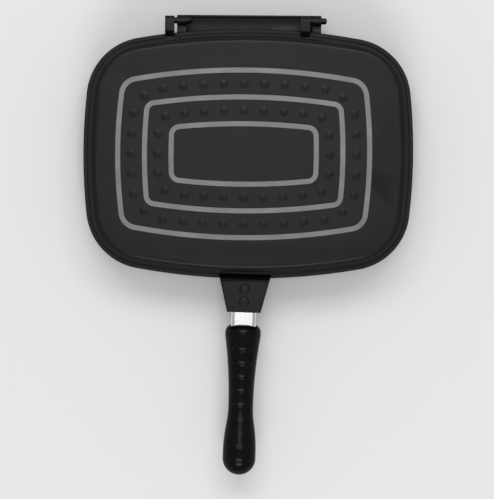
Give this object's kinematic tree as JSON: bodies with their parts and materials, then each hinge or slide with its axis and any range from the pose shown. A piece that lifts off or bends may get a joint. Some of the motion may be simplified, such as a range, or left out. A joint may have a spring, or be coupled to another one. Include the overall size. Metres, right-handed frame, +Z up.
{
  "type": "double sided flip pan",
  "caption": "Closed rectangular double sided frying pan: two nested cast pans on a slide-off hinge, each with a half handle, a drip trough behind and raised rings with bumps on both plates.",
  "frame": {"origin": "bottom centre of the whole object: the middle of its footprint, at the level of the outer ring that it stands on", "axes": "+X along the pans' long side to the right, +Y from the handle towards the hinge, +Z up from the lower pan to the upper pan"},
  "size_m": [0.32, 0.447, 0.0743],
  "materials": {
    "coated_casting": "die-cast aluminium under a dark grey non-stick coating",
    "coated_rivet": "aluminium rivet under the same dark coating",
    "silicone_seal": "dark grey silicone",
    "stainless_steel": "polished stainless steel",
    "blackened_steel": "steel pin, blackened",
    "zinc_plated_steel": "zinc plated mild steel",
    "phenolic": "glossy black phenolic",
    "insert_brass": "plain brass",
    "ferrite_magnet": "sintered ferrite, dark grey"
  },
  "bodies": {
    "lower": {"lower_pan": "coated_casting", "rim_seal": "silicone_seal", "lower_tang": "zinc_plated_steel", "lower_rivets": "coated_rivet", "lower_ferrule": "stainless_steel", "lower_grip": "phenolic", "lower_grip_screw": "stainless_steel", "lower_screw_washer": "stainless_steel", "lower_screw_insert": "insert_brass", "lower_magnet": "ferrite_magnet"},
    "upper": {"upper_pan": "coated_casting", "left_hinge_pin": "blackened_steel", "right_hinge_pin": "blackened_steel", "upper_tang": "zinc_plated_steel", "upper_rivets": "coated_rivet", "upper_ferrule": "stainless_steel", "upper_grip": "phenolic", "upper_grip_screw": "stainless_steel", "upper_screw_washer": "stainless_steel", "upper_screw_insert": "insert_brass", "upper_magnet": "ferrite_magnet"}
  },
  "joints": [
    {"name": "lid_hinge", "type": "hinge", "parent": "lower", "child": "upper", "pos_m": [0, 0.21782, 0.0403], "axis": [-1, 0, 0], "range_deg": [0, 180]}
  ]
}
